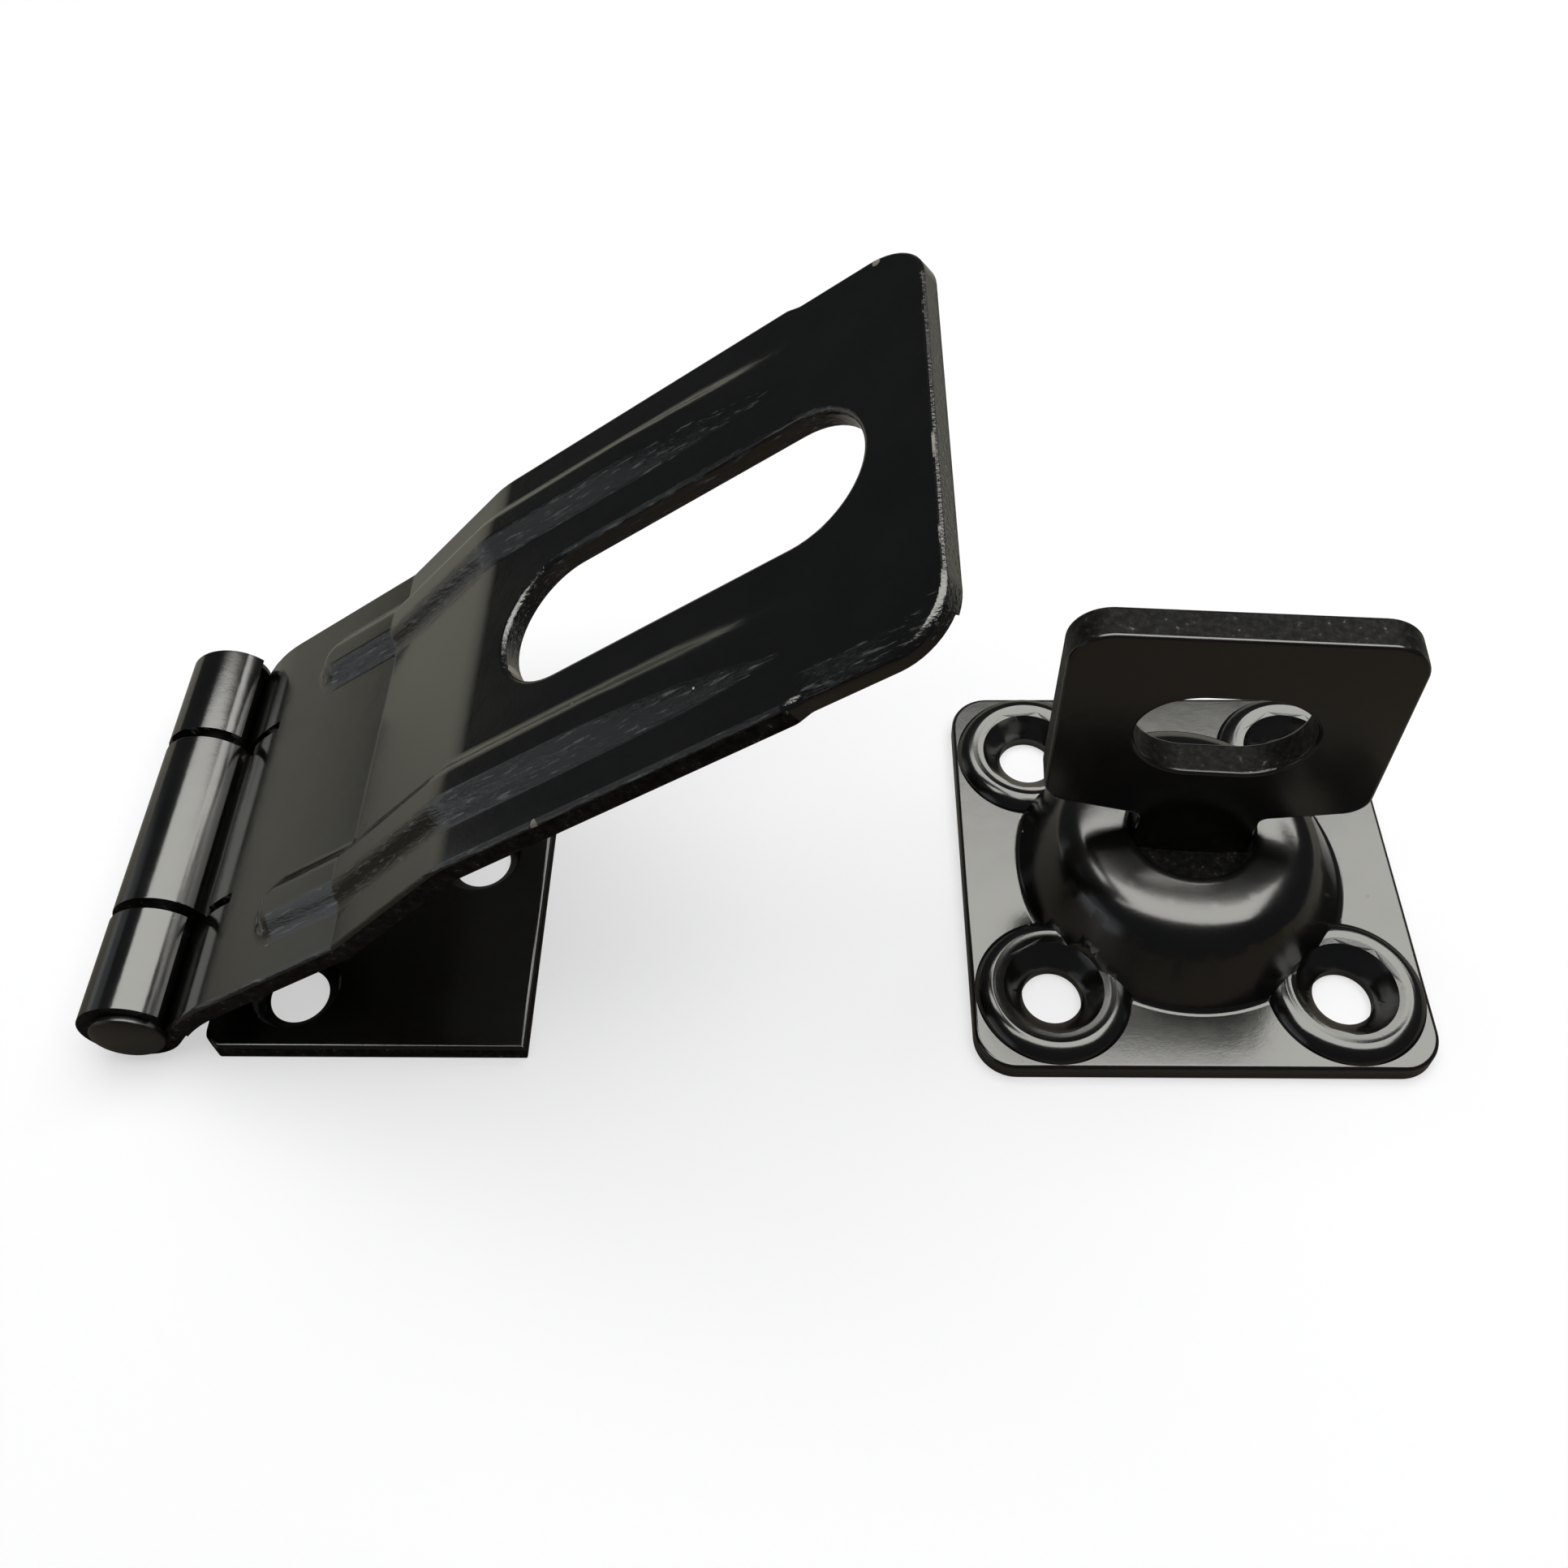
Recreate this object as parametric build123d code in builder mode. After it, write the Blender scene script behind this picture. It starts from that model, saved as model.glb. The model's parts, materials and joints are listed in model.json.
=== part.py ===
"""Safety hasp with a swivel staple: a strap hinged on a screw leaf, and a domed plate with a turning eye.

Millimetres, +Z up. Both halves lie screw side down on one surface, z = 0. The origin is midway between
the leaf's two outer holes. The hinge pin runs along Y on the -X side, and the staple stands on the +X side.
"""

import os
from math import acos, atan, atan2, cos, degrees, hypot, radians, sin, tan

from build123d import *

# Sheet and hinge
sheet = 1.8
edge_roll = 0.5
knuckle_radius = 4.4
pin_clearance = 0.05
pin_head_radius = 3.25
pin_head_rim = 0.35
pin_head_crown = 0.65
pin_end_gap = 0.1
centre_knuckle = 17.9
knuckle_gap = 1.0
knuckle_inset = 0.5

# Screw leaf
leaf_inset = 0.3
leaf_reach = 34.1
leaf_shoulder_gap = 1.2
leaf_corner = 1.2
leaf_lip_angle = -25
screw_hole = 5.3
leaf_countersink = 7.8
leaf_pair_from_pin = 12.7
leaf_hole_margin = 5.8
leaf_single_from_pair = 14.7

# Strap, measured along itself from the hinge pin
open_angle = 36.8
strap_width = 40.2
strap_reach = 86.3
strap_corner = 4.8
strap_lip_angle = 2
panel_drop = 0.5
panel_bend_gap = 2.0
panel_bend_radius = 16.0
ramp_foot = 26.4
ramp_head = 41.6
ramp_rise = 3.1
ramp_foot_radius = 2.0
ramp_head_radius = 12.0
tip_crop = 0.4
tip_crop_length = 12.7
tip_crop_run = 1.2
tip_crop_round = 1.5
tab_gap = 1.2
slit_length = 4.0
slot_from = 45.2
slot_end_margin = 5.9
slot_width = 12.6

# Pressed ribs of the strap
rib_spacing = 26.6
rib_from = 17.8
rib_end_margin = 12.9
rib_half_base = 3.5
rib_half_crest = 0.8
rib_slope = 46
rib_foot_radius = 3.1

# Staple plate
staple_from_pin = 93.2
staple_aside = -1.3
staple_side = 40.0
staple_corner = 3.6
plate_edge = 0.4
dome_foot = 14.8
dome_crown = 10.8
dome_height = 9.4
dome_crown_radius = 3.6
dome_foot_radius = 0.7
ring_margin = 0.3
ring_foot = 6.9
ring_crest = 5.1
ring_height = 1.2
ring_round = 1.0
ring_countersink = 8.8

# Swivel eye and its washer
eye_turn = -3.5
eye_thickness = 3.2
eye_width = 27.8
eye_top = 36.5
eye_corner = 3.6
eye_shoulder = 14.4
eye_shoulder_drop = 1.9
eye_lower_corner = 2.6
eye_neck = 10.6
eye_neck_root = 0.9
eye_edge = 0.35
eye_slot_length = 14.8
eye_slot_height = 10.6
eye_slot_middle = 24.5
neck_clearance = 0.3
tang_step = 2.1
tang_clearance = 0.05
washer_side_gap = 1.9
washer_thickness = 1.2
washer_gap = 0.3
peen_lap = 1.0
peen_height = 1.5

# Planes and lines shared by the pieces
pin_height = knuckle_radius
pin_radius = knuckle_radius - sheet - pin_clearance
roll_radius = knuckle_radius - sheet / 2
bend = radians(open_angle)
along = Vector(cos(bend), 0, sin(bend))
above = Vector(-sin(bend), 0, cos(bend))
pin_foot = Vector(-leaf_pair_from_pin, 0, 0)
pin_centre = pin_foot + Vector(0, 0, pin_height)
leaf_side = Plane(origin=pin_centre, x_dir=(1, 0, 0), z_dir=(0, -1, 0))
strap_side = Plane(origin=pin_centre, x_dir=along, z_dir=(0, -1, 0))
strap_plan = Plane(origin=pin_centre, x_dir=along, z_dir=above)
knuckle_end = centre_knuckle / 2 + knuckle_gap
hinge_reach = 2 * knuckle_radius
leaf_width = strap_width - 2 * leaf_inset
leaf_pair_spacing = leaf_width - 2 * leaf_hole_margin
leaf_shoulder = knuckle_radius + leaf_shoulder_gap
panel_bend_at = knuckle_radius + panel_bend_gap
tab_reach = knuckle_radius + tab_gap
slit_reach = tab_reach + slit_length
slot_to = strap_reach - slot_end_margin
rib_to = strap_reach - rib_end_margin
tip_crop_at = strap_reach - tip_crop_length

os.makedirs("parts", exist_ok=True)


# Screw leaf: flat sheet whose middle tongue is rolled up round the pin
with BuildPart() as hinge_leaf:
    with BuildSketch(leaf_side):
        with BuildLine():
            roll = CenterArc((0, 0), roll_radius, leaf_lip_angle, 270 - leaf_lip_angle)
            Line(roll @ 1, (leaf_shoulder + leaf_corner, -roll_radius))
        trace(line_width=sheet)
    extrude(amount=centre_knuckle / 2, both=True)
    leaf_length = leaf_reach - leaf_shoulder
    with BuildSketch(Plane(origin=pin_foot)):
        with Locations((leaf_shoulder + leaf_length / 2, 0)):
            plate = Rectangle(leaf_length, leaf_width)
        shoulders = plate.vertices().group_by(Axis.X)[0]
        chamfer(shoulders, leaf_corner)
    extrude(amount=sheet)
    with Locations(
        (0, leaf_pair_spacing / 2, sheet),
        (0, -leaf_pair_spacing / 2, sheet),
        (leaf_single_from_pair, 0, sheet),
    ):
        CounterSinkHole(radius=screw_hole / 2, counter_sink_radius=leaf_countersink / 2, depth=sheet)
    # Shearing leaves the upper rim rolled over
    upper_rim = hinge_leaf.edges().filter_by_position(Axis.Z, sheet, sheet).filter_by(GeomType.LINE)
    fillet(upper_rim.sort_by(Axis.X)[-5:], edge_roll)
hinge_leaf.part.label = "hinge_leaf"
export_step(hinge_leaf.part, "parts/hinge_leaf.step")


# Hinge pin: plain shank with a low domed head riveted over each end
pin_half = strap_width / 2 - knuckle_inset + pin_end_gap
head_rim = pin_half + pin_head_rim
pin_tip = head_rim + pin_head_crown
with BuildPart() as hinge_pin:
    with BuildSketch(Plane(origin=pin_centre, x_dir=(0, 1, 0), z_dir=(1, 0, 0))):
        with BuildLine():
            far_crown = Bezier((pin_tip, 0), (pin_tip, pin_head_radius), (head_rim, pin_head_radius))
            near_crown = Bezier((-head_rim, pin_head_radius), (-pin_tip, pin_head_radius), (-pin_tip, 0))
            Polyline(
                far_crown @ 1,
                (pin_half, pin_head_radius),
                (pin_half, pin_radius),
                (-pin_half, pin_radius),
                (-pin_half, pin_head_radius),
                near_crown @ 0,
            )
            Line(near_crown @ 1, far_crown @ 0)
        make_face()
    revolve(axis=Axis(pin_centre, (0, 1, 0)))
hinge_pin.part.label = "hinge_pin"
export_step(hinge_pin.part, "parts/hinge_pin.step")


# Strap: one pressing, rolled at the hinge, stepped up by a ramp and stiffened by two ribs
panel_middle = -panel_drop - sheet / 2
panel_top = -panel_drop
tip_top = panel_top + ramp_rise
bend_distance = hypot(panel_bend_at, panel_middle)
web_touch = degrees(atan2(panel_middle, panel_bend_at) - acos(roll_radius / bend_distance))
ramp_angle = atan(ramp_rise / (ramp_head - ramp_foot))
edge_shift = sheet / 2 * tan(ramp_angle / 2)


def strap_profile():
    """Line through the middle of the sheet, from the lip of the roll to the strap's tip."""
    with BuildLine() as middle:
        roll = CenterArc((0, 0), roll_radius, strap_lip_angle, 360 + web_touch - strap_lip_angle)
        FilletPolyline(
            roll @ 1,
            (panel_bend_at, panel_middle),
            (ramp_foot, panel_middle),
            (ramp_head, panel_middle + ramp_rise),
            (strap_reach, panel_middle + ramp_rise),
            radius=[panel_bend_radius, ramp_foot_radius, ramp_head_radius],
        )
    return middle.line


def rib_section(end, half_base, half_crest):
    """Half of a rib's cross-section at one end: a hollow foot that turns over into a round crest."""
    round_radius = (half_base - half_crest) / (2 * sin(radians(rib_slope)))
    height = 2 * round_radius * (1 - cos(radians(rib_slope)))
    with BuildSketch(Plane(origin=end, x_dir=(0, 1, 0), z_dir=along)) as half:
        with BuildLine():
            hollow = CenterArc((half_base, round_radius), round_radius, 270, -rib_slope)
            crest = CenterArc((half_crest, height - round_radius), round_radius, 90 - rib_slope, rib_slope)
            Polyline(crest @ 1, (0, height), (0, -sheet / 2), (half_base, -sheet / 2), hollow @ 0)
        make_face()
    return half.sketch


def rib_path(plane, depth):
    """Line of a rib along the strap's upper face, or lower by depth for the hollow underneath."""
    shift = edge_shift - depth * tan(ramp_angle / 2)
    with BuildLine(plane) as path:
        FilletPolyline(
            (rib_from, panel_top - depth),
            (ramp_foot - shift, panel_top - depth),
            (ramp_head - shift, tip_top - depth),
            (rib_to, tip_top - depth),
            radius=[rib_foot_radius + depth, ramp_head_radius + sheet / 2 - depth],
        )
    return path.line


rib_wall = sheet * tan(radians(rib_slope) / 2)
hollow_half_base = rib_half_base - rib_wall
hollow_half_crest = max(rib_half_crest - rib_wall, rib_half_crest / 4)
with BuildPart() as hasp_strap:
    with BuildSketch(strap_side):
        trace(strap_profile(), line_width=sheet)
    extrude(amount=strap_width / 2, both=True)
    rib_faces = (
        (0, rib_half_base, rib_half_crest, Mode.ADD),
        (sheet, hollow_half_base, hollow_half_crest, Mode.SUBTRACT),
    )
    for side in (-rib_spacing / 2, rib_spacing / 2):
        for depth, half_base, half_crest, mode in rib_faces:
            path = rib_path(strap_side.offset(side), depth)
            first = rib_section(path @ 0, half_base, half_crest)
            last = rib_section(path @ 1, half_base, half_crest)
            revolve(first, axis=Axis(path @ 0, above), revolution_arc=180, mode=mode)
            revolve(last, axis=Axis(path @ 1, -above), revolution_arc=180, mode=mode)
            whole = first + mirror(first, about=strap_side.offset(side), mode=Mode.PRIVATE)
            sweep(whole, path=path, mode=mode)
    # Room for the leaf's knuckle, a slit up each side of the tab that is left, and shorter knuckle ends
    with BuildSketch(strap_plan):
        with Locations(((tab_reach - hinge_reach) / 2, 0)):
            Rectangle(tab_reach + hinge_reach, 2 * knuckle_end)
        for side in (-1, 1):
            with Locations((slit_reach / 2, side * (knuckle_end - knuckle_gap / 2))):
                Rectangle(slit_reach, knuckle_gap)
            with Locations(((knuckle_radius - hinge_reach) / 2, side * (strap_width - knuckle_inset) / 2)):
                Rectangle(knuckle_radius + hinge_reach, knuckle_inset)
    extrude(amount=hinge_reach, both=True, mode=Mode.SUBTRACT)
    # Long slot that drops over the eye, and the end cropped a little narrower than the strap
    with BuildSketch(strap_plan):
        with Locations(((slot_from + slot_to) / 2, 0)):
            SlotOverall(slot_to - slot_from, slot_width)
    extrude(amount=hinge_reach, both=True, mode=Mode.SUBTRACT)
    with BuildSketch(strap_plan):
        with BuildLine():
            Polyline(
                (tip_crop_at, strap_width / 2),
                (strap_reach, strap_width / 2),
                (strap_reach, strap_width / 2 - tip_crop),
                (tip_crop_at + tip_crop_run, strap_width / 2 - tip_crop),
                close=True,
            )
        make_face()
        mirror(about=Plane.XZ)
    extrude(amount=hinge_reach, both=True, mode=Mode.SUBTRACT)
    length_axis = Axis(pin_centre, along)
    height_axis = Axis(pin_centre, above)
    upright_edges = hasp_strap.edges().filter_by(height_axis).sort_by(length_axis)
    fillet(upright_edges[-2:], strap_corner)
    upright_edges = hasp_strap.edges().filter_by(height_axis)
    crop_end = tip_crop_at + tip_crop_run
    crop_edges = upright_edges.filter_by_position(length_axis, tip_crop_at - tip_crop, crop_end + tip_crop)
    crop_edges -= crop_edges.filter_by_position(Axis.Y, -rib_spacing / 2, rib_spacing / 2)
    fillet(crop_edges, tip_crop_round)
    # The upper rim of the slot and of the outline is rolled over too
    top_edges = hasp_strap.edges().filter_by_position(height_axis, tip_top - edge_roll, tip_top + edge_roll)
    end_from = strap_reach - strap_corner
    end_edges = top_edges.filter_by_position(length_axis, end_from, strap_reach + edge_roll)
    slot_side = slot_width / 2 + edge_roll
    slot_edges = top_edges.filter_by_position(Axis.Y, -slot_side, slot_side)
    slot_edges = slot_edges.filter_by_position(length_axis, slot_from - edge_roll, slot_to + edge_roll)
    fillet(slot_edges, edge_roll)
    fillet(end_edges, edge_roll)
hasp_strap.part.label = "hasp_strap"
export_step(hasp_strap.part, "parts/hasp_strap.step")


# Staple plate: square pressing with a hollow dome and four raised rings round its screw holes
staple_centre = pin_foot + Vector(staple_from_pin, staple_aside, 0)
staple_plan = Plane(origin=staple_centre)
staple_section = Plane(origin=staple_centre, x_dir=(1, 0, 0), z_dir=(0, -1, 0))
staple_axis = Axis(staple_centre, (0, 0, 1))
flank_angle = atan((dome_foot - dome_crown) / (dome_height - sheet))
wall_run = sheet / cos(flank_angle) - sheet * tan(flank_angle)
dome_skirt = dome_foot + 2 * dome_foot_radius
hollow_foot = dome_foot - wall_run
hollow_crown = dome_crown - wall_run
hollow_height = dome_height - sheet
neck_hole = hypot(eye_neck, eye_thickness) / 2 + neck_clearance
staple_hole_spacing = staple_side - 2 * (ring_foot + ring_margin)
ring_spots = GridLocations(staple_hole_spacing, staple_hole_spacing, 2, 2)
with BuildPart() as staple_plate:
    with BuildSketch(staple_plan):
        RectangleRounded(staple_side, staple_side, staple_corner)
    extrude(amount=sheet)
    fillet(staple_plate.faces().sort_by(Axis.Z)[-1].edges(), plate_edge)
    with BuildSketch(staple_section):
        with BuildLine():
            Polyline((0, dome_height), (0, 0), (dome_skirt, 0), (dome_skirt, sheet))
            FilletPolyline(
                (dome_skirt, sheet),
                (dome_foot, sheet),
                (dome_crown, dome_height),
                (0, dome_height),
                radius=[dome_foot_radius, dome_crown_radius],
            )
        make_face()
    revolve(axis=staple_axis)
    for spot in ring_spots.locations:
        centre = staple_centre + spot.position
        with BuildSketch(Plane(origin=centre, x_dir=(1, 0, 0), z_dir=(0, -1, 0))):
            with BuildLine():
                FilletPolyline(
                    (ring_foot, sheet),
                    (ring_crest, sheet + ring_height),
                    (0, sheet + ring_height),
                    radius=ring_round,
                )
                Polyline((0, sheet + ring_height), (0, 0), (ring_foot, 0), (ring_foot, sheet))
            make_face()
        revolve(axis=Axis(centre, (0, 0, 1)))
    with BuildSketch(staple_section):
        with BuildLine():
            FilletPolyline(
                (hollow_foot, 0),
                (hollow_crown, hollow_height),
                (0, hollow_height),
                radius=dome_crown_radius - sheet,
            )
            Polyline((0, hollow_height), (0, 0), (hollow_foot, 0))
        make_face()
    revolve(axis=staple_axis, mode=Mode.SUBTRACT)
    for spot in ring_spots.locations:
        centre = staple_centre + spot.position
        with BuildSketch(Plane(origin=centre, x_dir=(1, 0, 0), z_dir=(0, -1, 0))):
            with BuildLine():
                Polyline(
                    (ring_crest - ring_height, 0),
                    (ring_crest, ring_height),
                    (ring_crest + ring_height, 0),
                    close=True,
                )
            make_face()
        revolve(axis=Axis(centre, (0, 0, 1)), mode=Mode.SUBTRACT)
    with BuildSketch(staple_plan):
        Circle(neck_hole)
    extrude(amount=2 * dome_height, mode=Mode.SUBTRACT)
    with Locations(staple_plan.offset(sheet + ring_height)):
        with GridLocations(staple_hole_spacing, staple_hole_spacing, 2, 2):
            CounterSinkHole(screw_hole / 2, ring_countersink / 2, depth=sheet + ring_height)
staple_plate.part.label = "staple_plate"
export_step(staple_plate.part, "parts/staple_plate.step")


# Swivel eye: thick flat blank with a slot for the lock, its tang riveted over a washer under the dome
turn = radians(eye_turn)
eye_face = Plane(origin=staple_centre, x_dir=(cos(turn), sin(turn), 0), z_dir=(sin(turn), -cos(turn), 0))
eye_section = Plane(origin=staple_centre, x_dir=eye_face.x_dir, z_dir=(0, 0, 1))
washer_radius = hollow_crown - washer_side_gap
washer_top = hollow_height - washer_gap
washer_bottom = washer_top - washer_thickness
tang_width = eye_neck - 2 * tang_step
peen_radius = hypot(tang_width, eye_thickness) / 2 + peen_lap
neck_top = eye_shoulder - eye_shoulder_drop
with BuildPart() as swivel_eye:
    with BuildSketch(eye_face):
        with BuildLine():
            right = FilletPolyline(
                (0, eye_top),
                (eye_width / 2, eye_top),
                (eye_width / 2, eye_shoulder),
                (eye_neck / 2, neck_top),
                (eye_neck / 2, washer_top),
                (0, washer_top),
                radius=[eye_corner, eye_lower_corner, eye_neck_root, 0],
            )
            mirror(right, about=Plane.YZ)
        make_face()
        with Locations((0, eye_slot_middle)):
            SlotOverall(eye_slot_length, eye_slot_height, mode=Mode.SUBTRACT)
    extrude(amount=eye_thickness / 2, both=True)
    faces = swivel_eye.faces().filter_by(Axis(staple_centre, eye_face.z_dir))
    rims = faces.edges() - faces.edges().filter_by_position(Axis.Z, 0, washer_top)
    fillet(rims, eye_edge)
    with BuildSketch(eye_section.offset(washer_top)):
        Rectangle(tang_width, eye_thickness)
    extrude(amount=-washer_thickness)
    with BuildSketch(eye_section.offset(washer_bottom)):
        Circle(peen_radius)
    extrude(amount=-peen_height)
    fillet(swivel_eye.faces().sort_by(Axis.Z)[0].edges(), peen_height / 2)
swivel_eye.part.label = "swivel_eye"
export_step(swivel_eye.part, "parts/swivel_eye.step")


# Washer under the dome, keyed to the tang so that it turns with the eye
with BuildPart() as retaining_washer:
    with BuildSketch(eye_section.offset(washer_bottom)):
        Circle(washer_radius)
        Rectangle(tang_width + 2 * tang_clearance, eye_thickness + 2 * tang_clearance, mode=Mode.SUBTRACT)
    extrude(amount=washer_thickness)
retaining_washer.part.label = "retaining_washer"
export_step(retaining_washer.part, "parts/retaining_washer.step")
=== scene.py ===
import json
import math

import bpy
from mathutils import Matrix, Vector

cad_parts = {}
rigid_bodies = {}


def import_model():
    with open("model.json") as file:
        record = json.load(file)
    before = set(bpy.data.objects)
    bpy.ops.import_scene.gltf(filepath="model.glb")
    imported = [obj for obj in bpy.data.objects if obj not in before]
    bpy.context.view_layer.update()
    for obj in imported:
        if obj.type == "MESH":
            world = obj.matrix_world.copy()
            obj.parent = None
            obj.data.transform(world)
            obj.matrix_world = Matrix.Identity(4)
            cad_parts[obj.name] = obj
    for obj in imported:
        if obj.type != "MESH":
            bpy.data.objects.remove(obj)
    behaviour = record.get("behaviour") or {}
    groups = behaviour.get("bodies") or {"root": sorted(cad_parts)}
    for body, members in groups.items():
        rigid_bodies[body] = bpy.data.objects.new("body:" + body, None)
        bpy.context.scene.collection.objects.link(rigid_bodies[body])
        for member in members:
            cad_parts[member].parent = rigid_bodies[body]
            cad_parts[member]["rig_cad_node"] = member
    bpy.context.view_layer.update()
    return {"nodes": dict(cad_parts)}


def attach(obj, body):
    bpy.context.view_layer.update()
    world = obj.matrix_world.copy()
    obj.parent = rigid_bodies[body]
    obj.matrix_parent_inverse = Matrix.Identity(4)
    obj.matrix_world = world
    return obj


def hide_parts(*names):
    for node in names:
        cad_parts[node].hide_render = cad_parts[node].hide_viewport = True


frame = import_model()

# Hinge leaf: the short half that is screwed down, blanked from a strip of mild steel with three
# countersunk holes, its middle tongue rolled up round the pin as the centre knuckle.
# It is stoved in gloss black after pressing, thinly and dully where the strip was sheared.
SHEET = 0.0018
LEAF_EDGE = 0.00012
LEAF_PATTERN = (0.0, 0.0, 0.0)
# How close corners are merged, how level faces are joined, how sharp an edge is eased, and how
# squarely a cut face stands to its axis.
MERGE_WITHIN = 0.000002
FLAT_WITHIN = math.radians(0.2)
SHARP_ANGLE = math.radians(32)
CUT_SQUARE = 0.9
# The gloss paint, the steel under it, the dust in it, the marks of drawing, and the light grey of
# glints painted along those marks.
PAINT_IOR = 2.0
PAINT_DARK = (0.0012, 0.0012, 0.0010, 1)
PAINT_LIGHT = (0.0030, 0.0029, 0.0025, 1)
BARE_STEEL = (0.165, 0.150, 0.130, 1)
WEAR_FADE = 0.09
WORN_DULLER = 0.3
SHEEN_BELOW = 0.03
SHEEN_ABOVE = 0.05
DUST = (0.42, 0.41, 0.39, 1)
DUST_SIZE = 0.022
DUST_RARE = 0.80
# The light grey of the painted glints along the drawing marks.
PAINTED_GLINT_GREY = (0.100, 0.105, 0.110, 1)
STREAK_STRETCH = (0.12, 1.0, 1.0)
STREAK_DEPTH = 0.00010
PEEL_DEPTH = 0.0001
GRIT_DEPTH = 0.00002
GRIT_STRENGTH = 0.15
# The thin paint on torn steel.
SHEAR_IOR = 1.22
SHEAR_DARK = (0.0016, 0.0016, 0.0015, 1)
SHEAR_LIGHT = (0.0140, 0.0135, 0.0130, 1)
TEAR_DEPTH = 0.00006
TEAR_STRENGTH = 0.55


def only(piece):
    """Leaves one piece selected, for the next tool to work on."""
    bpy.ops.object.select_all(action="DESELECT")
    piece.select_set(True)
    bpy.context.view_layer.objects.active = piece


def pressed_copy(node, name, edge_radius):
    """Copies a piece from the drawing and eases its sharp edges, which it marks for wear."""
    only(frame["nodes"][node])
    bpy.ops.object.duplicate()
    piece = bpy.context.view_layer.objects.active
    piece.name = name
    piece.data.name = name
    del piece["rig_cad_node"]
    bpy.ops.object.mode_set(mode="EDIT")
    bpy.ops.mesh.select_all(action="SELECT")
    bpy.ops.mesh.customdata_custom_splitnormals_clear()
    bpy.ops.mesh.remove_doubles(threshold=MERGE_WITHIN)
    bpy.ops.mesh.dissolve_limited(angle_limit=FLAT_WITHIN)
    bpy.ops.mesh.select_mode(type="EDGE")
    bpy.ops.mesh.select_all(action="DESELECT")
    bpy.ops.mesh.edges_select_sharp(sharpness=SHARP_ANGLE)
    bpy.ops.mesh.bevel(offset=edge_radius, segments=2, profile=0.5, clamp_overlap=True)
    bpy.ops.object.mode_set(mode="OBJECT")
    eased = piece.data.attributes.new("eased_edge", "FLOAT", "FACE")
    eased.data.foreach_set("value", [float(face.select) for face in piece.data.polygons])
    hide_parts(node)
    return piece


def dress(piece, *finishes):
    """Takes the drawing's finish off a piece and puts its own on, the first of them all over."""
    piece.data.materials.clear()
    for material in finishes:
        piece.data.materials.append(material)


def even_shading(piece):
    """Shades a piece smooth between its sharp edges, and keeps its flats flat."""
    only(piece)
    bpy.ops.object.shade_smooth_by_angle(angle=SHARP_ANGLE)
    even = piece.modifiers.new("even_flats", "WEIGHTED_NORMAL")
    even.mode = "FACE_AREA_WITH_ANGLE"
    even.keep_sharp = True
    bpy.ops.object.modifier_apply(modifier=even.name)


def new_finish(name):
    """Starts a finish, and gives it with its shader and with what joins its sockets."""
    material = bpy.data.materials.new(name)
    material.use_nodes = True
    return material, material.node_tree.nodes["Principled BSDF"], material.node_tree.links.new


def node_in(material, kind, **values):
    """Adds a node to a finish. Each value is a setting of the node, or goes to its socket of that
    name: a number or colour is set there, and another node's socket is joined to it."""
    node = material.node_tree.nodes.new(kind)
    for name, value in values.items():
        if hasattr(node, name):
            setattr(node, name, value)
        elif isinstance(value, bpy.types.NodeSocket):
            material.node_tree.links.new(value, node.inputs[name.replace("_", " ")])
        else:
            node.inputs[name.replace("_", " ")].default_value = value
    return node


def reckoned(material, operation, *levels):
    """Works one level out from others, each of them a number or a socket."""
    step = node_in(material, "ShaderNodeMath", operation=operation)
    for level, socket in zip(levels, step.inputs):
        if isinstance(level, bpy.types.NodeSocket):
            material.node_tree.links.new(level, socket)
        else:
            socket.default_value = level
    return step.outputs["Value"]


def moved(material, place, **values):
    """Shifts, turns or stretches the place that a pattern is read at."""
    return node_in(material, "ShaderNodeMapping", Vector=place, **values).outputs["Vector"]


def grain(material, place, scale, detail, roughness):
    """Adds a random grain to a finish, and gives its level."""
    noise = node_in(material, "ShaderNodeTexNoise", Vector=place,
                    Scale=scale, Detail=detail, Roughness=roughness)
    return noise.outputs["Fac"]


def between(material, level, start=0.0, end=1.0, low=0.0, high=1.0):
    """Stretches a level so that it runs from low to high while it passes from start to end."""
    stretch = node_in(material, "ShaderNodeMapRange", Value=level,
                      From_Min=start, From_Max=end, To_Min=low, To_Max=high)
    return stretch.outputs["Result"]


def toned(material, level, dark, light, glint=None):
    """Colours a finish by a level: each tone is the level it stands at and its colour."""
    ramp = node_in(material, "ShaderNodeValToRGB", Fac=level)
    for element, (position, colour) in zip(ramp.color_ramp.elements, (dark, light)):
        element.position = position
        element.color = colour
    if glint:
        ramp.color_ramp.elements.new(glint[0]).color = glint[1]
    return ramp.outputs["Color"]


def colour_over(material, under, colour, share):
    """Lays a colour over another one, as thickly as the share says."""
    mix = node_in(material, "ShaderNodeMix", data_type="RGBA", Factor=share, A=under, B=colour)
    return mix.outputs["Result"]


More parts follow.
